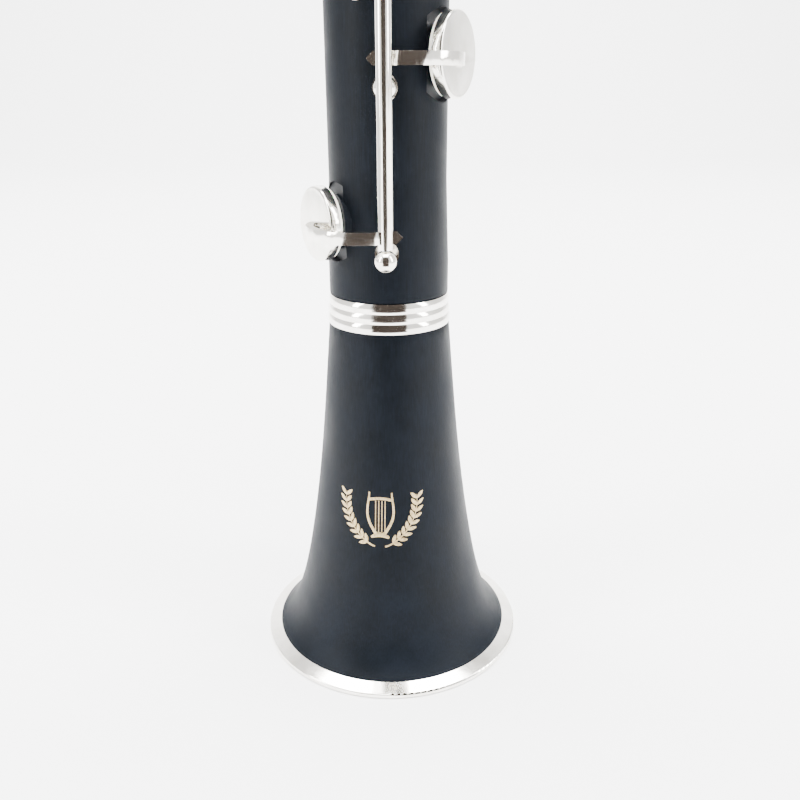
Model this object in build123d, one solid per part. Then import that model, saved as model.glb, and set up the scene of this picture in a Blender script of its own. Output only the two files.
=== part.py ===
"""A B flat clarinet with the Boehm system: 17 keys, 6 rings, in five joints.

Millimetres. +Z runs up the bore from the bell to the mouthpiece. The origin is the centre of
the bell's mouth, on the plane that the bell's rim stands on. The tone holes for the fingers
face -Y. Angles are degrees round the bore from that front line, positive towards +X, and
heights are measured from the plane of the bell's rim.

Each joint of the body plugs into the one below it with a corked tenon. Each key is one piece
of metal that turns on a steel rod held between posts. A key that stands open is drawn open.
"""
from build123d import *
import math
import os

os.makedirs("parts", exist_ok=True)

# ---------------------------------------------------------------- lengths of the five joints
bell_height = 108.7
lower_length = 235.0
upper_length = 192.0
barrel_length = 65.0
mouthpiece_length = 73.0

lower_start = bell_height
upper_start = lower_start + lower_length
barrel_start = upper_start + upper_length
mouthpiece_start = barrel_start + barrel_length
tip_height = mouthpiece_start + mouthpiece_length

# ---------------------------------------------------------------- body radii and bore
bore_radius = 7.35
lower_radius = 15.75
lower_foot_radius = 16.5
lower_foot_height = 9.0
lower_taper_height = 31.0
upper_radius = 14.75
barrel_end_radius = 16.9
barrel_waist_radius = 15.9

# ---------------------------------------------------------------- tenons, corks and sockets
tenon_slip = 0.05            # radial gap between a cork and the socket it slides in
tenon_neck = 0.35            # how far the wood of a tenon stands inside its socket
cork_depth = 1.2
cork_margin = 3.5            # bare wood at each end of a tenon
bell_tenon = 20.0
middle_tenon = 17.0
barrel_tenon = 16.0
bell_socket_radius = 12.6
middle_socket_radius = 11.7
barrel_socket_radius = 11.2
socket_floor_gap = 0.5       # between a tenon's end and the floor of its socket

# ---------------------------------------------------------------- bell
rim_radius = 39.5
rim_edge = 1.6               # height of the ring's outer edge
rim_ring_rise = 2.8          # height of the ring's inner border
rim_ring_border = 35.73
rim_ring_metal = 0.6
rim_ring_inner = 37.0        # inner radius of the face that the clarinet stands on
bell_mouth_radius = 34.6     # bore of the bell at its mouth
bell_throat_radius = 9.4     # bore of the bell under its socket
bell_ring_height = 8.1
bell_ring_foot_radius = 17.0
bell_ring_top_radius = 16.4
bell_ring_bead = 0.35
ring_metal = 1.5             # wall of the rings on the sockets

# ---------------------------------------------------------------- key work
rod_radius = 1.0
rod_slip = 0.04              # radial gap between a rod and the tube that turns on it
tube_radius = 1.85
tube_end_gap = 0.12          # between a tube and the post at its end
post_flange_radius = 3.1
post_flange_height = 0.9
post_seat = 0.35             # depth of the flat that a post's flange sits on
post_stem_radius = 1.25
post_root = 4.0              # how deep a post's stem goes in the wood
ball_radius = 2.8
arm_height = 3.1
arm_thick = 2.0
arm_drop = 1.0               # how far an arm runs below the middle of its cup
pad_show = 0.9               # edge of the pad below the cup's lip
cup_depth = 2.6
cup_wall = 0.5
pad_gap = 0.12               # between a closed pad and its seat
crown_wall = 1.5             # wall of the raised seat round a tone hole
touch_thick = 1.8
tail_length = 4.2
chimney_radius = 4.7
chimney_rise = 2.2
ring_gap = 0.6               # between a chimney and the finger ring round it
ring_band = 1.7
ring_thick = 1.3
spring_radius = 0.3
cross_ball_radius = 1.7       # balls of the posts beside a rocking key
cross_half = 4.0              # from a rocking key's middle to its posts
cross_flange_radius = 2.0
touch_lift = 2.2             # how far a rocking key's touch stands above the cup's back
cross_arm = 2.4

STAND = (Align.CENTER, Align.CENTER, Align.MIN)


# ---------------------------------------------------------------- shapes used all over
def polar(radius, angle, height=0.0):
    """The point at this radius and angle round the bore."""
    turn = math.radians(angle)
    return Vector(radius * math.sin(turn), -radius * math.cos(turn), height)


def facing(radius, angle, height, normal=None):
    """A place on the body: local z points out of it, local y up, local x round it."""
    turn = math.radians(angle if normal is None else normal)
    out = (math.sin(turn), -math.cos(turn), 0)
    along = (math.cos(turn), math.sin(turn), 0)
    return Plane(origin=polar(radius, angle, height), x_dir=along, z_dir=out).location


def swing(place, hinge, degrees):
    """Turn a place or a shape about the vertical line through the point hinge."""
    return Pos(hinge.X, hinge.Y, 0) * Rot(0, 0, degrees) * Pos(-hinge.X, -hinge.Y, 0) * place


def turned(*points):
    """A solid turned about the bore from a closed outline of (radius, height) points."""
    return revolve(Plane.XZ * make_face(Polyline(*points, close=True)), Axis.Z)


def turned_edges(*edges):
    """A solid turned about the bore from a closed outline of edges."""
    return revolve(Plane.XZ * make_face(edges), Axis.Z)


def pipe(outer, inner, start, end):
    """A hollow cylinder about the bore."""
    return turned((inner, start), (outer, start), (outer, end), (inner, end))


def beaded_ring(inner, foot_radius, top_radius, start, height, beads, bead):
    """A socket ring whose outside is a stack of rounded beads."""
    edges = []
    step = height / beads
    for number in range(beads):
        low, high = start + number * step, start + (number + 1) * step
        low_radius = foot_radius + (top_radius - foot_radius) * number / beads
        high_radius = foot_radius + (top_radius - foot_radius) * (number + 1) / beads
        middle_radius = (low_radius + high_radius) / 2 + bead
        edges.append(ThreePointArc((low_radius, low), (middle_radius, (low + high) / 2), (high_radius, high)))
    edges.append(Polyline((top_radius, start + height), (inner, start + height), (inner, start),
                          (foot_radius, start)))
    return turned_edges(*edges)


def between(start, end, radius):
    """A round bar from one point to another."""
    run = end - start
    return Plane(origin=start, z_dir=run) * Cylinder(radius, run.length, align=STAND)


def bowed(start, middle, end, thick):
    """A flat bar of even thickness that follows the arc through three points, ends rounded."""
    (ax, ay), (bx, by), (cx, cy) = start, middle, end
    twice = 2 * (ax * (by - cy) + bx * (cy - ay) + cx * (ay - by))
    a2, b2, c2 = ax**2 + ay**2, bx**2 + by**2, cx**2 + cy**2
    ox = (a2 * (by - cy) + b2 * (cy - ay) + c2 * (ay - by)) / twice
    oy = (a2 * (cx - bx) + b2 * (ax - cx) + c2 * (bx - ax)) / twice
    reach = math.hypot(ax - ox, ay - oy)

    def beside(point, offset):
        share = (reach + offset) / reach
        return (ox + (point[0] - ox) * share, oy + (point[1] - oy) * share)

    half = thick / 2
    outer = [beside(p, half) for p in (start, middle, end)]
    inner = [beside(p, -half) for p in (start, middle, end)]
    band = make_face([
        ThreePointArc(*outer), Line(outer[2], inner[2]),
        ThreePointArc(*inner), Line(inner[0], outer[0])])
    return band + Pos(*start) * Circle(half) + Pos(*end) * Circle(half)


# ---------------------------------------------------------------- what each joint carries
class Joint:
    """Gathers the fittings of one joint, and what they add to and cut from its wood."""

    def __init__(self, radius, start):
        self.radius, self.start = radius, start
        self.posts, self.rods, self.springs = [], [], []
        self.crowns, self.cuts = [], []

    def post(self, place, heights, lengthwise, ball=ball_radius, flange_radius=post_flange_radius):
        """A turned post at a place on the surface, with a bored ball at each height."""
        root = Pos(0, 0, -post_root)
        shape = root * Cylinder(post_stem_radius, post_root + max(heights), align=STAND)
        shape += Pos(0, 0, -post_seat) * Cylinder(flange_radius, post_flange_height, align=STAND)
        turn = Rot(90, 0, 0) if lengthwise else Rot(0, 90, 0)
        for height in heights:
            shape += Pos(0, 0, height) * Sphere(ball)
        for height in heights:
            shape -= Pos(0, 0, height) * turn * Cylinder(rod_radius, 2 * ball + 2)
        self.posts.append(place * shape)
        self.cuts.append(place * Pos(0, 0, -post_seat) * Cylinder(flange_radius, 3, align=STAND))
        self.cuts.append(place * root * Cylinder(post_stem_radius, post_root, align=STAND))

    def rod(self, start, end, ball=ball_radius):
        """A steel rod through two posts, ending flush with the outside of their balls."""
        reach = (end - start).normalized() * (ball - 0.3)
        self.rods.append(between(start - reach, end + reach, rod_radius))

    def long_hinge(self, angle, radius, low, high, posts=True):
        """A hinge along the body: a post at each end of the rod."""
        if posts:
            for height in (low, high):
                self.post(facing(self.radius, angle, height), [radius - self.radius], True)
        self.rod(polar(radius, angle, low), polar(radius, angle, high))

    def cross_hinge(self, angle, height, rise):
        """A hinge across the body: two posts side by side, square to the body's face there."""
        place = facing(self.radius, angle, height)
        drop = self.radius - math.sqrt(self.radius**2 - cross_half**2)
        for side in (-1, 1):
            seat = place * Pos(side * cross_half, 0, -drop)
            self.post(seat, [rise + drop], False, cross_ball_radius, cross_flange_radius)
        ends = [(place * Pos(side * cross_half, 0, rise)).position for side in (-1, 1)]
        self.rod(*ends, cross_ball_radius)

    def seat(self, place, hole_radius, pad_radius):
        """A raised seat under a pad: a ring of wood round the tone hole, in a flat clearing."""
        rim = hole_radius + crown_wall
        self.cuts.append(place * Pos(0, 0, -pad_gap - 0.7) * Cylinder(pad_radius + 0.7, 8, align=STAND))
        crown = Pos(0, 0, -pad_gap - 5) * Cylinder(rim, 5, align=STAND)
        self.crowns.append((place * crown, place * Pos(0, 0, -16) * Cylinder(hole_radius, 17, align=STAND)))

    def chimney(self, angle, height, hole_radius):
        """A raised chimney under a finger."""
        place = facing(self.radius, angle, self.start + height)
        tower = Pos(0, 0, -4) * Cylinder(chimney_radius, 4 + chimney_rise, align=STAND)
        self.crowns.append((place * tower, place * Pos(0, 0, -14) * Cylinder(hole_radius, 18, align=STAND)))

    def finish(self, wood):
        """The joint's wood with every seat, chimney, hole and post mounting worked into it."""
        wood = wood - [cut for cut in self.cuts]
        wood = wood + [crown for crown, hole in self.crowns]
        return wood - [hole for crown, hole in self.crowns]


# ---------------------------------------------------------------- what each key is made of
def cup(radius):
    """A pad cup with a gently domed back. Local z = 0 is the face of its pad."""
    back = pad_show + cup_depth
    dome = back + 0.35
    shell = turned_edges(
        Line((0, back - cup_wall), (radius - cup_wall, back - cup_wall)),
        Line((radius - cup_wall, back - cup_wall), (radius - cup_wall, pad_show)),
        Line((radius - cup_wall, pad_show), (radius, pad_show)),
        Line((radius, pad_show), (radius, back - 0.6)),
        ThreePointArc((radius, back - 0.6), (radius - 0.2, back - 0.15), (radius - 0.7, back)),
        ThreePointArc((radius - 0.7, back), (radius / 2, back + 0.25), (0, dome)),
        Line((0, dome), (0, back - cup_wall)))
    return shell


def pad(radius):
    """The felt and skin disc that fills a cup."""
    return Cylinder(radius - cup_wall, pad_show + cup_depth - cup_wall, align=STAND)


def ridge(length, width):
    """The tapered tail of an arm, lying along local x on the back of a cup."""
    half = width / 2
    outline = make_face(Polyline(
        (-length, 0), (0, half), (length * 0.9, half), (length * 0.9, -half), (0, -half),
        close=True))
    return Pos(0, 0, pad_show + cup_depth - 0.2) * extrude(outline, 1.6)


def tube(hinge, low, high):
    """The tube of a key on a hinge along the body, from post to post."""
    start = low + ball_radius + tube_end_gap
    end = high - ball_radius - tube_end_gap
    return Pos(hinge.X, hinge.Y, start) * Cylinder(tube_radius, end - start, align=STAND)


def tube_bore(hinge, low, high):
    """The hole for the rod through such a tube."""
    return Pos(hinge.X, hinge.Y, low) * Cylinder(rod_radius + rod_slip, high - low, align=STAND)


def arm(hinge, end, bulge_radius, height, tall=arm_height):
    """An arm from a hinge along the body to a point, bowed out round the body."""
    first = math.degrees(math.atan2(hinge.X, -hinge.Y))
    last = math.degrees(math.atan2(end.X, -end.Y))
    last = first + (last - first + 180) % 360 - 180
    middle = polar(bulge_radius, (first + last) / 2)
    band = bowed((hinge.X, hinge.Y), (middle.X, middle.Y), (end.X, end.Y), arm_thick)
    return Pos(0, 0, height - tall / 2) * extrude(band, tall)


def tail(hinge, length, height):
    """The pointed end of an arm, past the tube on the side away from its cup."""
    reach, half = abs(length), arm_height / 2
    blade = make_face(Polyline((0, -half), (reach - half, -half), (reach, 0), (reach - half, half),
                               (0, half), close=True))
    shape = Rot(90, 0, 0) * extrude(blade, arm_thick / 2, both=True)
    return Pos(hinge.X, hinge.Y, height) * Rot(0, 0, 0 if length > 0 else 180) * shape


def touch(length, width):
    """A finger touch: an oval plate, local z out, long way along local y."""
    return extrude(Ellipse(width / 2, length / 2), touch_thick)


def write(name, *shapes):
    """Write one node, as separate solids where it is a group of equal pieces."""
    solids = [solid for shape in shapes for solid in shape.solids()]
    export_step(solids[0] if len(solids) == 1 else Compound(solids), f"parts/{name}.step")


def long_key(joint, hinge, cups=(), rings=(), touches=(), posts=True, open_turn=0.0):
    """A key on a hinge along the body, drawn open by open_turn degrees from where it closes.

    Heights are from the joint's foot. hinge is (angle, radius, low, high). A cup is (pad
    radius, hole radius, radius, angle, height, angle it faces), a ring is (angle, height) of
    its chimney, a touch is (radius, angle, height, length, width). Cups and rings are given
    where they close. Returns the key and its pads.
    """
    angle, radius = hinge[:2]
    low, high = (joint.start + height for height in hinge[2:])
    line = polar(radius, angle)
    joint.long_hinge(angle, radius, low, high, posts)
    metal = tube(line, low, high)
    pads = []
    for pad_radius, hole_radius, rest, side, height, normal in cups:
        height += joint.start
        seat = facing(rest, side, height, normal)
        joint.seat(seat, hole_radius, pad_radius)
        top = (seat * Pos(0, 0, pad_show + cup_depth + 0.5)).position
        away = Rot(0, 0, 0 if side < angle else 180)
        lean = Pos(0, -arm_drop, 0) * away * ridge(pad_radius * 0.7, arm_height * 0.8)
        metal += arm(line, top, radius + 1.6, height - arm_drop) + seat * (cup(pad_radius) + lean)
        metal += tail(line, math.copysign(tail_length, angle - side), height - arm_drop)
        pads.append(seat * pad(pad_radius))
    for side, height in rings:
        height += joint.start
        top = joint.radius + chimney_rise
        inner = chimney_radius + ring_gap
        outer = inner + ring_band
        place = facing(top - ring_thick, side, height)
        reach = math.copysign(inner + ring_band / 2, angle - side)
        end = (place * Pos(reach, 0, ring_thick / 2)).position
        metal += place * (Cylinder(outer, ring_thick, align=STAND) - Cylinder(inner, ring_thick, align=STAND))
        clear = place * Pos(0, 0, -8) * Cylinder(inner, 20, align=STAND)
        metal += arm(line, end, radius + 0.6, height, ring_band) - clear
    for rest, side, height, length, width in touches:
        height += joint.start
        place = facing(rest, side, height)
        end = (place * Pos(0, 0, touch_thick / 2)).position
        metal += place * touch(length, width) + arm(line, end, radius + 1.2, height)
    metal -= tube_bore(line, low, high)
    return swing(metal, line, open_turn), [swing(piece, line, open_turn) for piece in pads]


def cross_key(joint, angle, pivot, rise, cup_height, touch_height, pad_radius, hole_radius, touch_size):
    """A rocking key on a hinge across the body, closed at rest: a cup at one end, a touch at
    the other, and one straight lever between them that clears the wood."""
    pivot, cup_height, touch_height = (joint.start + h for h in (pivot, cup_height, touch_height))
    joint.cross_hinge(angle, pivot, rise)
    seat = facing(joint.radius - 0.9, angle, cup_height)
    joint.seat(seat, hole_radius, pad_radius)
    place = facing(joint.radius, angle, pivot)
    axle = place * Pos(0, 0, rise) * Rot(0, 90, 0)
    width = 2 * (cross_half - cross_ball_radius - tube_end_gap)
    back = pad_show + cup_depth - 0.9
    touch_end = (touch_height - pivot, back + touch_lift)
    lever = bowed((cup_height - pivot, back + 0.6), (0, rise), touch_end, arm_thick)
    plane = Plane(origin=place.position, x_dir=(0, 0, 1), z_dir=tuple(place.x_axis.direction))
    metal = plane * extrude(lever, cross_arm / 2, both=True)
    metal += axle * Cylinder(tube_radius, width) + seat * cup(pad_radius)
    metal += facing(joint.radius + back + touch_lift - 0.9, angle, touch_height) * touch(*touch_size)
    metal -= axle * Cylinder(rod_radius + rod_slip, 2 * width)
    return metal, [seat * pad(pad_radius)]


# ---------------------------------------------------------------- lower joint and its keys
lower = Joint(lower_radius, lower_start)
keys = {}

# The two keys of the lowest notes share a line at the front, one above the other. Both stand
# open, their cups on either side, and one tall post holds the upper ends of both rods.
front_angle = -1.54
low_e_rise, low_f_rise = 10.25, 4.95
low_e_line, low_f_line = lower_radius + low_e_rise, lower_radius + low_f_rise
shared_post = 105.3
low_e_close, low_f_close = -7.0, 7.0
low_e_foot, low_f_foot = 13.4, 53.2
low_e_seat = lower_foot_radius - 0.3
lower.post(facing(low_e_seat, front_angle, lower_start + low_e_foot), [low_e_line - low_e_seat], True)
lower.post(facing(lower_radius, front_angle, lower_start + low_f_foot), [low_f_rise], True)
lower.post(facing(lower_radius, front_angle, lower_start + shared_post), [low_f_rise, low_e_rise], True)
keys["low_e_key"] = long_key(
    lower, (front_angle, low_e_line, low_e_foot, shared_post), [(9.6, 5.6, 15.7, -61.9, 20.3, -67.3)],
    touches=[(24.5, -48, 96.3, 14, 11)], posts=False, open_turn=-low_e_close)
keys["low_f_key"] = long_key(
    lower, (front_angle, low_f_line, low_f_foot, shared_post), [(10.2, 5.6, 14.5, 63.7, 60.6, 67.8)],
    touches=[(21.5, 46, 91.3, 14, 10)], posts=False, open_turn=-low_f_close)
keys["f_sharp_key"] = long_key(
    lower, (-26, 19.6, 75.3, 120.3), [(7.6, 4.4, 14.9, -68, 85.3, -68)],
    touches=[(20.5, -62, 113.3, 13, 9)], open_turn=7.0)
keys["a_flat_key"] = long_key(
    lower, (26, 19.6, 95.3, 126.3), [(7.6, 4.6, 14.9, 68, 109.3, 68)], touches=[(20.0, -1, 120.3, 8, 8)])
right_hand_holes = [(0, 136.3), (0, 163.3), (0, 191.3)]
keys["lower_ring_key"] = long_key(
    lower, (-50, 19.6, 127.3, 222.3), [(5.2, 2.4, 15.0, -8, 210.3, -8)], rings=right_hand_holes,
    open_turn=-4.5)
keys["side_b_key"] = long_key(
    lower, (32, 19.4, 141.3, 162.3), [(4.4, 2.4, 15.0, 66, 151.8, 66)], touches=[(18.6, 3, 149.8, 5, 8)])
keys["left_f_lever"] = long_key(lower, (103, 20.2, 85.3, 179.3), touches=[
    (22.6, 72, 91.3, 6, 5), (21.6, 72, 170.3, 13, 9)])
keys["left_e_lever"] = long_key(lower, (130, 20.2, 85.3, 216.3), touches=[(21.6, 94, 198.3, 13, 9)])
for side, height in right_hand_holes:
    lower.chimney(side, height, 3.7)

# ---------------------------------------------------------------- upper joint and its keys
upper = Joint(upper_radius, upper_start)
first_hole, second_hole, third_hole, thumb_hole = (0, 83.3), (0, 58.3), (0, 33.3), (180, 80.3)
keys["upper_ring_key"] = long_key(
    upper, (-50, 18.6, 8.3, 106.3), [(4.8, 2.3, 14.0, -8, 99.3, -8)],
    rings=(first_hole, second_hole),
    open_turn=-4.5)
keys["thumb_ring_key"] = long_key(
    upper, (136, 18.6, 52.3, 90.3), [(4.8, 2.4, 14.0, 180, 62.3, 180)], rings=[thumb_hole],
    open_turn=-4.5)
keys["side_e_flat_key"] = long_key(
    upper, (34, 18.4, 37.3, 57.3), [(4.4, 2.4, 14.0, 70, 47.3, 70)], touches=[(17.6, 3, 45.8, 5, 8)])
rocker_rise = 5.0
rockers = {
    "c_sharp_key": (104, 27.3, 42.3, 12.3, 5.0, 2.6, (12, 8)),
    "throat_a_key": (2, 142.3, 156.3, 124.3, 5.0, 2.4, (11, 7)),
    "throat_g_sharp_key": (52, 130.3, 145.3, 115.3, 5.0, 2.4, (11, 7)),
    "register_key": (180, 136.3, 168.3, 102.3, 4.4, 1.5, (12, 9)),
    "trill_key_1": (-78, 103.3, 154.3, 48.3, 4.6, 2.3, (14, 6)),
    "trill_key_2": (-102, 93.3, 141.3, 46.3, 4.6, 2.3, (14, 6)),
    "trill_key_3": (-126, 83.3, 128.3, 44.3, 4.6, 2.3, (14, 6)),
    "trill_key_4": (-150, 73.3, 115.3, 42.3, 4.6, 2.3, (14, 6)),
}
for name, (angle, pivot, cup_height, touch_height, pad_radius, hole, size) in rockers.items():
    keys[name] = cross_key(
        upper, angle, pivot, rocker_rise, cup_height, touch_height, pad_radius, hole, size)
for side, height in (first_hole, second_hole, third_hole, thumb_hole):
    upper.chimney(side, height, 3.6)

for name, (metal, pads) in keys.items():
    write(name, metal)
    if pads:
        write(name.replace("_key", "_pad"), *pads)


# ---------------------------------------------------------------- thumb rest
rest_height, rest_width, rest_thick = 24.0, 13.0, 2.4
rest_centre = lower_start + 153.3
plate_place = facing(lower_radius - 1.6, 180, rest_centre)
plate = plate_place * Box(rest_width, rest_height, rest_thick + 1.4, align=STAND)
plate -= pipe(lower_radius, 5, rest_centre - rest_height, rest_centre + rest_height)
hook = facing(lower_radius + 1.5, 180, rest_centre + rest_height / 2 - 2) * (
    Box(rest_width, 3.0, 13.0, align=STAND) + Pos(0, 3, 10.6) * Box(rest_width, 6, 2.4, align=STAND))
rest = plate + hook
screws = []
for drop in (-3.0, 4.0):
    place = facing(lower_radius - 5, 180, rest_centre - 6 + drop)
    screw = Cylinder(1.1, 6.4, align=STAND) + Pos(0, 0, 6.4) * Cylinder(2.0, 1.4, align=STAND)
    rest -= place * screw
    screws.append(place * screw)
write("thumb_rest", rest)
write("thumb_rest_screws", *screws)
lower.cuts.extend(screws)


# ---------------------------------------------------------------- wood of the joints
def tenon(radius, start, length):
    """The wood of a tenon with the groove that its cork lies in."""
    wood = pipe(radius - tenon_neck, bore_radius, start, start + length)
    return wood - tenon_cork(radius, start, length)


def tenon_cork(radius, start, length):
    """The cork of a tenon, a slip smaller than its socket."""
    outer = radius - tenon_slip
    return pipe(outer, outer - cork_depth, start + cork_margin, start + length - cork_margin)


foot = lower_start
middle = upper_start
lower_wood = turned(
    (bore_radius, foot), (lower_foot_radius - 0.5, foot), (lower_foot_radius, foot + 0.5),
    (lower_foot_radius, foot + lower_foot_height), (lower_radius, foot + lower_taper_height),
    (lower_radius, middle - 8), (middle_socket_radius + 2.4, middle - 8),
    (middle_socket_radius + 2.4, middle), (middle_socket_radius, middle),
    (middle_socket_radius, middle - middle_tenon - socket_floor_gap),
    (bore_radius, middle - middle_tenon - socket_floor_gap))
lower_wood += tenon(bell_socket_radius, foot - bell_tenon, bell_tenon)
write("lower_joint", lower.finish(lower_wood))
write("lower_joint_cork", tenon_cork(bell_socket_radius, foot - bell_tenon, bell_tenon))
socket_ring = lower_radius + 0.4
write("middle_socket_ring", beaded_ring(
    middle_socket_radius + 2.4, socket_ring, socket_ring, middle - 8, 8.0, 3, bell_ring_bead))
write("lower_posts", *lower.posts)
write("lower_hinge_rods", *lower.rods)

upper_wood = pipe(upper_radius, bore_radius, middle, barrel_start)
upper_wood += tenon(middle_socket_radius, middle - middle_tenon, middle_tenon)
upper_wood += tenon(barrel_socket_radius, barrel_start, barrel_tenon)
write("upper_joint", upper.finish(upper_wood))
write("upper_joint_corks", tenon_cork(middle_socket_radius, middle - middle_tenon, middle_tenon),
      tenon_cork(barrel_socket_radius, barrel_start, barrel_tenon))
write("upper_posts", *upper.posts)
write("upper_hinge_rods", *upper.rods)

# ---------------------------------------------------------------- bell
throat = bell_height - bell_tenon - socket_floor_gap
ring_seat = bell_ring_top_radius - ring_metal
ring_foot = bell_height - bell_ring_height
bell_outline = [
    Spline((rim_ring_border, rim_ring_rise), (33.0, 5.6), (30.6, 9.6), (28.4, 15.6), (24.4, 33.6),
           (20.7, 59.6), (18.0, 87.6), (bell_ring_foot_radius - 0.1, ring_foot)),
    Polyline((bell_ring_foot_radius - 0.1, ring_foot), (ring_seat, ring_foot), (ring_seat, bell_height),
             (bell_socket_radius, bell_height), (bell_socket_radius, throat), (bell_throat_radius, throat)),
    Spline((bell_throat_radius, throat), (14.2, 45.0), (20.0, 20.0), (27.0, 6.5), (bell_mouth_radius, 0.2)),
    Polyline((bell_mouth_radius, 0.2), (rim_ring_inner, 0.2), (rim_ring_inner, rim_ring_metal),
             (rim_radius - rim_ring_metal, rim_ring_metal),
             (rim_radius - rim_ring_metal, rim_edge - rim_ring_metal),
             (rim_ring_border, rim_ring_rise - rim_ring_metal), (rim_ring_border, rim_ring_rise))]
write("bell", turned_edges(*bell_outline))

edge_round = 0.4
write("bell_rim_ring", turned_edges(
    Polyline((rim_ring_border, rim_ring_rise - rim_ring_metal), (rim_ring_border, rim_ring_rise),
             (rim_radius - edge_round, rim_edge)),
    ThreePointArc((rim_radius - edge_round, rim_edge), (rim_radius - 0.1, rim_edge - 0.15),
                  (rim_radius, rim_edge - edge_round)),
    Polyline((rim_radius, rim_edge - edge_round), (rim_radius, edge_round), (rim_radius - edge_round, 0),
             (rim_ring_inner, 0), (rim_ring_inner, rim_ring_metal),
             (rim_radius - rim_ring_metal, rim_ring_metal),
             (rim_radius - rim_ring_metal, rim_edge - rim_ring_metal),
             (rim_ring_border, rim_ring_rise - rim_ring_metal))))

write("bell_top_ring", beaded_ring(
    ring_seat, bell_ring_foot_radius, bell_ring_top_radius, ring_foot, bell_ring_height, 3, bell_ring_bead))

# ---------------------------------------------------------------- barrel
barrel_ring_height = 6.5
barrel_seat = barrel_end_radius - ring_metal
low, high = barrel_start, mouthpiece_start
floor_low = low + barrel_tenon + socket_floor_gap
floor_high = high - barrel_tenon - socket_floor_gap
write("barrel", turned_edges(
    Polyline((barrel_socket_radius, low), (barrel_seat, low), (barrel_seat, low + barrel_ring_height),
             (barrel_end_radius - 0.2, low + barrel_ring_height)),
    ThreePointArc((barrel_end_radius - 0.2, low + barrel_ring_height),
                  (barrel_waist_radius, (low + high) / 2),
                  (barrel_end_radius - 0.2, high - barrel_ring_height)),
    Polyline((barrel_end_radius - 0.2, high - barrel_ring_height), (barrel_seat, high - barrel_ring_height),
             (barrel_seat, high), (barrel_socket_radius, high), (barrel_socket_radius, floor_high),
             (bore_radius, floor_high), (bore_radius, floor_low), (barrel_socket_radius, floor_low),
             (barrel_socket_radius, low))))
write("barrel_rings", *[
    beaded_ring(barrel_seat, barrel_end_radius, barrel_end_radius, start, barrel_ring_height, 2, 0.3)
    for start in (low, high - barrel_ring_height)])

# ---------------------------------------------------------------- mouthpiece, reed, ligature
shank_radius = 13.4
table_depth = 10.4           # from the bore's axis to the flat that the reed lies on
beak_foot = 32.0             # length of the slope that the teeth rest on
tip_thick = 1.4
reed_width, reed_thick, reed_length = 12.6, 3.0, 66.0
reed_tip, vamp_length = 0.3, 32.0
window_width, window_length = 10.6, 30.0
base = mouthpiece_start
solid = turned((0, base), (shank_radius - 0.6, base), (shank_radius, base + 0.8), (shank_radius, base + 22),
               (12.4, tip_height - 8), (11.8, tip_height), (0, tip_height))
slope = make_face(Polyline(
    (-20, tip_height - beak_foot), (-shank_radius, tip_height - beak_foot),
    (table_depth - tip_thick, tip_height), (table_depth - tip_thick, tip_height + 5), (-20, tip_height + 5),
    close=True))
solid -= Plane.YZ * extrude(slope, 20, both=True)
solid -= Pos(0, table_depth + 5, base + 6) * Box(40, 10, 90, align=STAND)
solid += tenon(barrel_socket_radius, base - barrel_tenon, barrel_tenon)
solid -= Pos(0, 0, base) * Cylinder(bore_radius, mouthpiece_length - window_length - 6, align=STAND)
chamber = make_face(Polyline(
    (-5.5, tip_height - 38), (table_depth, tip_height - 38), (table_depth, tip_height - 1.5),
    (table_depth - 0.6, tip_height - 1.5), (-5.5, tip_height - 24), close=True))
solid -= Plane.YZ * extrude(chamber, window_width / 2, both=True)
write("mouthpiece", solid)
write("mouthpiece_cork", tenon_cork(barrel_socket_radius, base - barrel_tenon, barrel_tenon))

reed_foot = tip_height - reed_length
side_view = make_face(Polyline(
    (table_depth, reed_foot), (table_depth + reed_thick, reed_foot),
    (table_depth + reed_thick, tip_height - vamp_length), (table_depth + reed_tip, tip_height - 0.3),
    (table_depth, tip_height - 0.3), close=True))
write("reed", Plane.YZ * extrude(side_view, reed_width / 2, both=True))

band_gap, band_metal, band_width = 0.1, 0.7, 22.0
band_start = base + 10.0
reed_back = table_depth + reed_thick
inside = (Circle(shank_radius + band_gap) & Pos(0, -7) * Rectangle(60, 2 * (table_depth + 7))) \
    + Pos(0, reed_back / 2) * Rectangle(reed_width + 0.4, reed_back + 2 * band_gap)
sheath = extrude(offset(inside, band_metal) - inside, band_width)
lug_half, lug_depth = 3.0, 6.0
lugs = Pos(0, reed_back + band_metal, 0) * Box(
    4 * lug_half, 2 * lug_depth, band_width, align=STAND) - Pos(0, reed_back, 0) * Box(
    2 * lug_half, 60, band_width * 2) - Pos(0, 0, 0) * extrude(inside, band_width)
screw_radius, head_radius, head_width = 1.3, 3.6, 5.0
screw_line = reed_back + band_metal + lug_depth / 2 + 1.1
band = Pos(0, 0, band_start) * (sheath + lugs)
for name, height in (("ligature_screw_lower", 5.5), ("ligature_screw_upper", 16.5)):
    line = Pos(0, screw_line, band_start + height) * Rot(0, 90, 0)
    screw = line * (Cylinder(screw_radius, 4.4 * lug_half) + Pos(0, 0, 2.2 * lug_half) * Cylinder(
        head_radius, head_width, align=STAND))
    band -= line * Cylinder(screw_radius + 2 * rod_slip, 6 * lug_half)
    write(name, screw)
write("ligature_band", band)
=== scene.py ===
"""A B flat clarinet standing on its bell, seen from the front and a little above.

The frame holds every solid piece. This file gives each piece its material, works the small
shapes that a lathe and a buffing wheel leave, and adds the gilt mark pressed in the bell.

A point of the mark is first set out flat as (across, up) in millimetres. With r(z) the bell's
outer radius at height z, it lands at angle a = across / r, at x = r sin a, y = -r cos a, so its
lengths on the bell are the lengths it was drawn with.
"""

import math

import bpy
import numpy as np
from mathutils import Matrix, Vector


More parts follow.
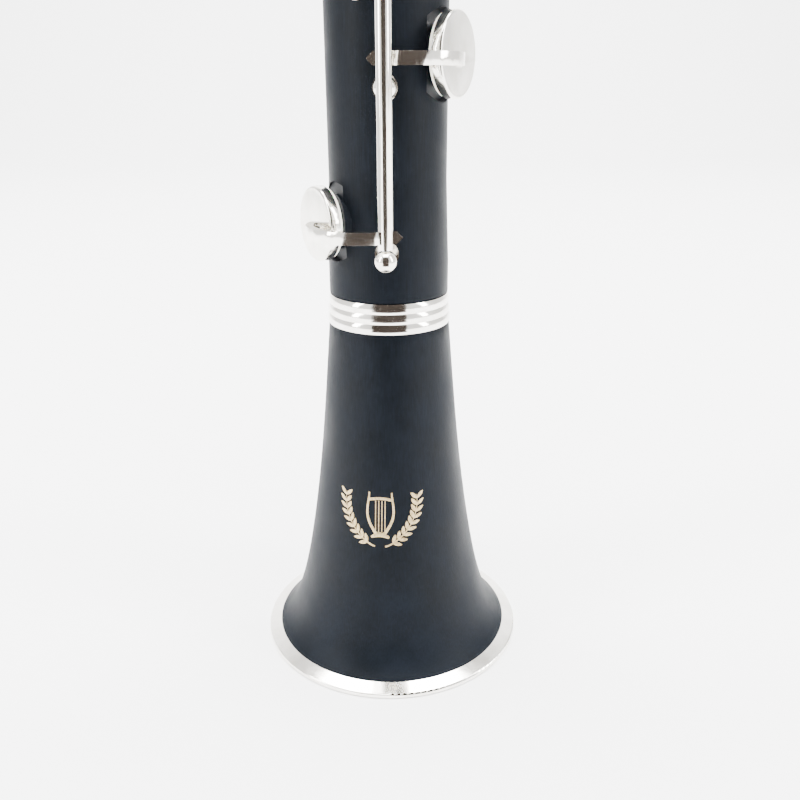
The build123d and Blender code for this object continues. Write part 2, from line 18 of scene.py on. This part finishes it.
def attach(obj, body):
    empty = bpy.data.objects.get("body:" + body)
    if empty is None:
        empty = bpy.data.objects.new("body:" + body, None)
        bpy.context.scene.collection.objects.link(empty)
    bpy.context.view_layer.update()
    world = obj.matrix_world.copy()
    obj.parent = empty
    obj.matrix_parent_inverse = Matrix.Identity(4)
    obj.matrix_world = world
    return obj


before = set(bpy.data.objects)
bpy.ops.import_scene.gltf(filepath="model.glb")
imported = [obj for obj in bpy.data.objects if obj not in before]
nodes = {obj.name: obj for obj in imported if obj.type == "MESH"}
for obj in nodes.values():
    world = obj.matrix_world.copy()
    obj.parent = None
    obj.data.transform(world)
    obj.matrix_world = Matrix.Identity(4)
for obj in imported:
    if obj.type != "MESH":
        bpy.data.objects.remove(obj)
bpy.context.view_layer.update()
MM = 0.001

# ---------------------------------------------------------------- camera, light and floor
# The view is from in front of the bell, a little above it, with a short distance to the
# instrument, so the upper joints pass out of the picture. The floor turns up into a backdrop.
eye = Vector((0, -0.22485, 0.16219))
pitch, yaw, roll = math.radians(21.038), math.radians(0.7525), math.radians(-0.294)
ahead = Vector((math.sin(yaw) * math.cos(pitch), math.cos(yaw) * math.cos(pitch), -math.sin(pitch)))
level = Vector((math.cos(yaw), -math.sin(yaw), 0))
upright = level.cross(ahead)
right = level * math.cos(roll) + upright * math.sin(roll)
above = upright * math.cos(roll) - level * math.sin(roll)
camera = bpy.data.objects.new("camera", bpy.data.cameras.new("camera"))
camera.data.lens, camera.data.sensor_width = 36.69, 36.0
camera.data.clip_start, camera.data.clip_end = 0.01, 20.0
camera.matrix_world = Matrix((
    (right.x, above.x, -ahead.x, eye.x), (right.y, above.y, -ahead.y, eye.y),
    (right.z, above.z, -ahead.z, eye.z), (0, 0, 0, 1)))
bpy.context.collection.objects.link(camera)
bpy.context.scene.camera = camera


def srgb(code):
    """A linear colour from a #rrggbb code."""
    levels = [int(code[i:i + 2], 16) / 255 for i in (1, 3, 5)]
    return tuple(v / 12.92 if v < 0.04045 else ((v + 0.055) / 1.055) ** 2.4 for v in levels) + (1,)


def add(tree, kind, links=None, settings=None, **values):
    """Add one shader node: values set its sockets, links feed them, settings its options."""
    node = tree.nodes.new(kind)
    for key, value in (settings or {}).items():
        setattr(node, key, value)
    for name, value in values.items():
        node.inputs[name.replace("_", " ")].default_value = value
    for name, socket in (links or {}).items():
        tree.links.new(socket, node.inputs[name])
    return node


def begin(name):
    """A new material with its shader, and the object's own coordinates in millimetres."""
    material = bpy.data.materials.new(name)
    material.use_nodes = True
    tree = material.node_tree
    place = tree.nodes.new("ShaderNodeTexCoord").outputs["Object"]
    scale = add(tree, "ShaderNodeVectorMath", {0: place}, {"operation": "SCALE"}, Scale=1000.0)
    return material, tree, tree.nodes["Principled BSDF"], scale.outputs["Vector"]


def speckle(tree, place, size, detail=3.0, stretch=(1, 1, 1)):
    """Noise whose grains are about this many millimetres across."""
    spread = add(tree, "ShaderNodeVectorMath", {0: place}, {"operation": "MULTIPLY"})
    spread.inputs[1].default_value = stretch
    noise = add(tree, "ShaderNodeTexNoise", {"Vector": spread.outputs[0]}, Scale=1 / size, Detail=detail)
    return noise.outputs[0]


def between(tree, factor, low, high, start=0.35, end=0.65):
    """A number that follows a factor from low to high."""
    ramp = add(tree, "ShaderNodeMapRange", {"Value": factor})
    for name, value in (("From Min", start), ("From Max", end), ("To Min", low), ("To Max", high)):
        ramp.inputs[name].default_value = value
    return ramp.outputs[0]


def shade(tree, factor, dark, light):
    """A colour that follows a factor from dark to light."""
    mix = add(tree, "ShaderNodeMix", {0: factor}, {"data_type": "RGBA"})
    mix.inputs[6].default_value, mix.inputs[7].default_value = srgb(dark), srgb(light)
    return mix.outputs[2]


steps = np.linspace(0, math.pi / 2, 17)
run = np.concatenate([[-3.0], 1.6 + 0.9 * np.sin(steps), [2.5]])
rise = np.concatenate([[0.0], 0.9 - 0.9 * np.cos(steps), [4.0]])
spots = [(side, y, z) for y, z in zip(run, rise) for side in (-4.0, 4.0)]
strips = [(2 * i, 2 * i + 1, 2 * i + 3, 2 * i + 2) for i in range(len(run) - 1)]
sweep = bpy.data.meshes.new("floor")
sweep.from_pydata(spots, [], strips)
sweep.shade_smooth()
floor = bpy.data.objects.new("floor", sweep)
bpy.context.collection.objects.link(floor)
paper, tree, shader, place = begin("white paper")
tree.links.new(shade(tree, speckle(tree, place, 2.0), "#f7f7f7", "#fcfcfc"), shader.inputs["Base Color"])
shader.inputs["Roughness"].default_value = 0.9
sweep.materials.append(paper)


def lamp(name, at, target, width, height, power):
    """A soft box that faces its target."""
    light = bpy.data.lights.new(name, "AREA")
    light.shape, light.size, light.size_y, light.energy = "RECTANGLE", width, height, power
    box = bpy.data.objects.new(name, light)
    box.location = at
    box.rotation_euler = (Vector(target) - Vector(at)).to_track_quat("-Z", "Y").to_euler()
    bpy.context.collection.objects.link(box)


lamp("left box", (-1.1, -0.5, 0.7), (0, 0, 0.12), 0.3, 1.1, 22)
lamp("right box", (1.1, -0.4, 0.7), (0, 0, 0.12), 0.3, 1.1, 21)
lamp("top box", (0.0, -0.2, 1.9), (0, 0, 0.1), 1.6, 1.6, 128)
lamp("backdrop box", (0.0, 0.6, 2.4), (0, 2.4, 0.6), 3.0, 1.0, 225)

# Two dark cards stand behind and below the camera, where the room is only unlit. Only the plating
# sees them: painted dark reflections, the dark stripes that a studio's flags put in bright metal.
dark_reflection_card, tree, shader, place = begin("dark reflection card")
tree.links.new(shade(tree, speckle(tree, place, 0.5), "#1c1917", "#2a2522"), shader.inputs["Base Color"])
shader.inputs["Roughness"].default_value = 1.0
shader.inputs["Specular IOR Level"].default_value = 0.0
fold = [(-0.36, -0.61, 0.004), (0.36, -0.61, 0.004)]
for name, corners in (("card behind", [*fold, (0.5, -0.61, 1.1), (-0.5, -0.61, 1.1)]),
                      ("card below", [*fold, (0.1, -0.15, 0.004), (-0.1, -0.15, 0.004)])):
    card_mesh = bpy.data.meshes.new(name)
    card_mesh.from_pydata(corners, [], [(0, 1, 2, 3)])
    card_mesh.materials.append(dark_reflection_card)
    card = bpy.data.objects.new(name, card_mesh)
    bpy.context.collection.objects.link(card)
    card.visible_camera = card.visible_shadow = card.visible_diffuse = False

# The surroundings are a pale room, a little darker overhead.
world = bpy.data.worlds.new("studio")
world.use_nodes = True
bpy.context.scene.world = world
tree = world.node_tree
where = tree.nodes.new("ShaderNodeTexCoord").outputs["Generated"]
turn = add(tree, "ShaderNodeSeparateXYZ", {0: where})
glow = between(tree, turn.outputs["Z"], 1.0, 0.9, 0.0, 0.8)
tone = add(tree, "ShaderNodeCombineColor", {"Red": glow, "Green": glow, "Blue": glow})
tree.links.new(tone.outputs[0], tree.nodes["Background"].inputs["Color"])
tree.nodes["Background"].inputs["Strength"].default_value = 2.05

# ---------------------------------------------------------------- bell and joints
# The bell, both joints and the barrel are turned from one dark moulded stock, brushed along
# its length and left satin. Fine pores and a faint streak keep it from being one flat black.

def relief(tree, height, depth, strength=1.0, below=None):
    """A bump this many millimetres deep."""
    links = {"Height": height} if below is None else {"Height": height, "Normal": below}
    return add(tree, "ShaderNodeBump", links, Distance=depth * MM, Strength=strength).outputs[0]


def dress(material, *names):
    """Give nodes of the frame a material."""
    for name in names:
        mesh = nodes[name].data
        mesh.materials.clear()
        mesh.materials.append(material)


def soften(width, *names):
    """Round the sharp edges of nodes by this many millimetres, as buffing does."""
    for name in names:
        piece = nodes[name]
        weld = piece.modifiers.new("weld", "WELD")
        weld.merge_threshold = 0.002 * MM
        edge = piece.modifiers.new("buffed", "BEVEL")
        edge.width, edge.segments, edge.limit_method = width * MM, 2, "ANGLE"
        edge.angle_limit, edge.harden_normals = math.radians(38), True


stock, tree, shader, place = begin("black moulded ABS, brushed")
streak = speckle(tree, place, 0.35, 4.0, (1, 1, 0.06))
cloud = speckle(tree, place, 14.0)
both = add(tree, "ShaderNodeMath", {0: streak, 1: cloud}, {"operation": "ADD"})
tone = shade(tree, between(tree, both.outputs[0], 0, 1, 0.7, 1.3), "#05080c", "#0b1017")
tree.links.new(tone, shader.inputs["Base Color"])
tree.links.new(between(tree, cloud, 0.44, 0.54), shader.inputs["Roughness"])
shader.inputs["Specular IOR Level"].default_value = 0.075
grain = relief(tree, streak, 0.03, 0.5)
tree.links.new(relief(tree, speckle(tree, place, 0.45, 5.0), 0.05, 0.7, grain), shader.inputs["Normal"])
dress(stock, "bell", "lower_joint", "upper_joint", "barrel")
soften(0.25, "bell", "barrel")

# ---------------------------------------------------------------- rings
# The rings on the sockets and round the bell's rim are spun brass with nickel plate, turned
# bright. The turning lines run round the bore, and handling has left a few dull patches.
plate, tree, shader, place = begin("nickel plate, turned")
axis = add(tree, "ShaderNodeSeparateXYZ", {0: place})
lines = add(tree, "ShaderNodeCombineXYZ", {"Z": axis.outputs["Z"]})
turning = speckle(tree, lines.outputs[0], 0.15, 2.0)
patch = speckle(tree, place, 6.0)
tree.links.new(shade(tree, between(tree, patch, 0, 1), "#e6e2d9", "#f6f3ec"), shader.inputs["Base Color"])
tree.links.new(between(tree, patch, 0.08, 0.15), shader.inputs["Roughness"])
tree.links.new(relief(tree, turning, 0.01, 0.4), shader.inputs["Normal"])
shader.inputs["Metallic"].default_value = 1.0
dress(plate, "bell_rim_ring", "bell_top_ring", "middle_socket_ring", "barrel_rings")

# ---------------------------------------------------------------- keys, posts and springs
# Each key is forged and silver-soldered nickel silver, buffed so its edges are rounded, then
# plated. Buffing leaves a slight waviness, and fine hairlines from being wiped.
key_metal, tree, shader, place = begin("nickel plate, buffed")
wave = speckle(tree, place, 3.0, 1.0)
hairline = speckle(tree, place, 0.1, 2.0, (1, 1, 0.15))
tree.links.new(shade(tree, between(tree, speckle(tree, place, 5.0), 0, 1), "#e4e0d7", "#f6f3ec"),
               shader.inputs["Base Color"])
tree.links.new(between(tree, hairline, 0.09, 0.17), shader.inputs["Roughness"])
smooth_wave = relief(tree, wave, 0.06, 0.35)
tree.links.new(relief(tree, hairline, 0.004, 0.4, smooth_wave), shader.inputs["Normal"])
shader.inputs["Metallic"].default_value = 1.0
key_nodes = [name for name in nodes if name.endswith(("_key", "_lever")) or name.startswith("trill_key")]
fittings = ["lower_posts", "upper_posts", "thumb_rest", "thumb_rest_screws", "ligature_band",
            "ligature_screw_lower", "ligature_screw_upper"]
dress(key_metal, *key_nodes, *fittings)
soften(0.22, *key_nodes, "thumb_rest", "ligature_band")

# The rods are drawn steel, ground smooth, a little bluer and duller than the plating.
steel, tree, shader, place = begin("ground steel")
tree.links.new(shade(tree, speckle(tree, place, 1.2), "#8d9094", "#b4b6b8"), shader.inputs["Base Color"])
tree.links.new(between(tree, speckle(tree, place, 0.2), 0.2, 0.34), shader.inputs["Roughness"])
tree.links.new(relief(tree, speckle(tree, place, 0.08), 0.004, 0.5), shader.inputs["Normal"])
shader.inputs["Metallic"].default_value = 1.0
dress(steel, "lower_hinge_rods", "upper_hinge_rods")

# ---------------------------------------------------------------- pads
# Each pad is a felt disc wrapped in bladder skin, cream white, slightly crinkled at its edge.
skin, tree, shader, place = begin("pad skin over felt")
crinkle = speckle(tree, place, 0.8, 4.0, (1, 1, 0.5))
tree.links.new(shade(tree, between(tree, crinkle, 0, 1), "#e6e0d0", "#f7f4ea"), shader.inputs["Base Color"])
tree.links.new(between(tree, crinkle, 0.42, 0.6), shader.inputs["Roughness"])
tree.links.new(relief(tree, crinkle, 0.05, 0.6), shader.inputs["Normal"])
shader.inputs["Subsurface Weight"].default_value = 0.15
shader.inputs["Subsurface Scale"].default_value = 0.6 * MM
dress(skin, *[name for name in nodes if "_pad" in name])

# ---------------------------------------------------------------- corks
# The tenons are wrapped in natural cork, sanded round and greased, with dark flecks in it.
cork, tree, shader, place = begin("natural cork")
cells = add(tree, "ShaderNodeTexVoronoi", {"Vector": place}, Scale=1.6).outputs["Distance"]
fleck = between(tree, speckle(tree, place, 0.7), 0, 1, 0.55, 0.65)
tree.links.new(shade(tree, fleck, "#c79c68", "#6e4a2c"), shader.inputs["Base Color"])
tree.links.new(between(tree, cells, 0.6, 0.85, 0, 1), shader.inputs["Roughness"])
tree.links.new(relief(tree, cells, 0.08, 0.7), shader.inputs["Normal"])
dress(cork, "lower_joint_cork", "upper_joint_corks", "mouthpiece_cork")

# ---------------------------------------------------------------- mouthpiece and reed
# The mouthpiece is hard rubber, polished to a deep black, a little milky where teeth rest.
rubber, tree, shader, place = begin("polished hard rubber")
bloom = speckle(tree, place, 8.0)
tree.links.new(shade(tree, between(tree, bloom, 0, 1), "#0c0c0e", "#191a1c"), shader.inputs["Base Color"])
tree.links.new(between(tree, bloom, 0.12, 0.24), shader.inputs["Roughness"])
tree.links.new(relief(tree, speckle(tree, place, 0.3), 0.005, 0.4), shader.inputs["Normal"])
dress(rubber, "mouthpiece")
soften(0.4, "mouthpiece")

# The reed is split cane: straw-coloured fibres run its whole length.
cane, tree, shader, place = begin("cane")
fibre = speckle(tree, place, 0.3, 5.0, (1, 1, 0.03))
tree.links.new(shade(tree, between(tree, fibre, 0, 1), "#b98f4a", "#e3c788"), shader.inputs["Base Color"])
tree.links.new(between(tree, fibre, 0.4, 0.6), shader.inputs["Roughness"])
tree.links.new(relief(tree, fibre, 0.04, 0.6), shader.inputs["Normal"])
dress(cane, "reed")

# ---------------------------------------------------------------- gilt mark on the bell
# A lyre between two sprigs is pressed in the front of the bell and filled with pale gold
# leaf. It is a pattern of thin strokes laid on the bell's own surface, with no lettering.
gilt, tree, shader, place = begin("pale gold leaf")
worn = speckle(tree, place, 0.5, 5.0)
tree.links.new(shade(tree, between(tree, worn, 0, 1), "#a98f62", "#d8c396"), shader.inputs["Base Color"])
tree.links.new(between(tree, worn, 0.28, 0.5), shader.inputs["Roughness"])
tree.links.new(relief(tree, worn, 0.02, 0.6), shader.inputs["Normal"])
shader.inputs["Metallic"].default_value = 0.85

bell_points = np.empty(len(nodes["bell"].data.vertices) * 3)
nodes["bell"].data.vertices.foreach_get("co", bell_points)
bell_points = bell_points.reshape(-1, 3) / MM
bell_radii = np.hypot(bell_points[:, 0], bell_points[:, 1])
outside = bell_points[(bell_radii > 18.0) & (bell_points[:, 2] > 25.0)]
outside = outside[np.argsort(outside[:, 2])]
mark_turn = math.radians(-8.0)
mark_height = 49.0


def bell_radius(z):
    """The bell's outer radius at height z, between the rings of points above and below it."""
    return np.interp(z, outside[:, 2], np.hypot(outside[:, 0], outside[:, 1]))


# Across a stroke, from edge to edge as shares of its half width: how far it stands off the bell.
section = ((1, -0.05), (0.9, 0.05), (0.45, 0.07), (0, 0.08), (-0.45, 0.07), (-0.9, 0.05), (-1, -0.05))


def leaf_of_gold(centre, widths):
    """One stroke: a ribbon along centre points (across, up), this wide at each, on the bell."""
    along = np.gradient(centre, axis=0)
    along /= np.linalg.norm(along, axis=1)[:, None]
    side = np.stack([-along[:, 1], along[:, 0]], axis=1) * widths[:, None] / 2
    rows = []
    for edge, lift in section:
        flat = centre + side * edge
        z = mark_height + flat[:, 1]
        r = bell_radius(z) + lift
        a = mark_turn + flat[:, 0] / r
        rows.append(np.stack([r * np.sin(a), -r * np.cos(a), z], axis=1) * MM)
    return np.stack(rows, axis=1)


grids = []
points = 40
t = np.linspace(0, 1, points)
sprig_base, sprig_rise, leaf_length, leaf_lean = -9.0, 15.0, 2.7, 0.75
for side in (-1, 1):
    # a horn of the lyre, a stem of the sprig, and its leaves
    spread = 1.0 + 2.9 * np.sin(math.pi * t) * (1 - 0.3 * t) + 2.2 * t**3
    horn = np.stack([side * spread, -5.5 + 12.5 * t], axis=1)
    grids.append(leaf_of_gold(horn, 0.9 * (1 - 0.5 * t)))
    stem = np.stack([side * (1.5 + 9.0 * np.sin(1.75 * t)), sprig_base + sprig_rise * t**1.4], axis=1)
    grids.append(leaf_of_gold(stem, 0.45 * (1.1 - 0.8 * t)))
    for number in range(9):
        share = 0.14 + 0.1 * number
        root = np.array([side * (1.5 + 9.0 * math.sin(1.75 * share)), sprig_base + sprig_rise * share**1.4])
        # the stem's own heading here, from the slopes of the two formulas above
        heading = math.atan2(1.4 * sprig_rise * share**0.4, side * 1.75 * 9.0 * math.cos(1.75 * share))
        for lean in (-leaf_lean, leaf_lean):
            way = np.array([math.cos(heading + lean), math.sin(heading + lean)])
            blade = 1.05 * np.sin(math.pi * t) ** 0.8 + 0.03
            grids.append(leaf_of_gold(root + np.outer(t * leaf_length, way), blade))
for number in range(4):
    across = -1.35 + 0.9 * number
    string = np.stack([np.full(points, across), -4.6 + 9.2 * t], axis=1)
    grids.append(leaf_of_gold(string, np.full(points, 0.26)))
bar = np.stack([-3.6 + 7.2 * t, 4.7 + 0.5 * np.sin(math.pi * t)], axis=1)
grids.append(leaf_of_gold(bar, np.full(points, 0.8)))
foot = np.stack([-2.6 + 5.2 * t, -6.4 + 0.9 * np.sin(math.pi * t)], axis=1)
grids.append(leaf_of_gold(foot, 0.6 + 0.9 * np.sin(math.pi * t)))

stacked = np.stack(grids)
count, rows, columns = stacked.shape[:3]
number = np.arange(count * rows * columns).reshape(count, rows, columns)
corners = np.stack([number[:, :-1, :-1], number[:, :-1, 1:],
                    number[:, 1:, 1:], number[:, 1:, :-1]], axis=-1)
mark_mesh = bpy.data.meshes.new("gilt_mark")
mark_mesh.from_pydata(stacked.reshape(-1, 3).tolist(), [], corners.reshape(-1, 4).tolist())
mark_mesh.shade_smooth()
mark_mesh.materials.append(gilt)
mark = bpy.data.objects.new("gilt_mark", mark_mesh)
bpy.context.collection.objects.link(mark)
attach(mark, "bell")
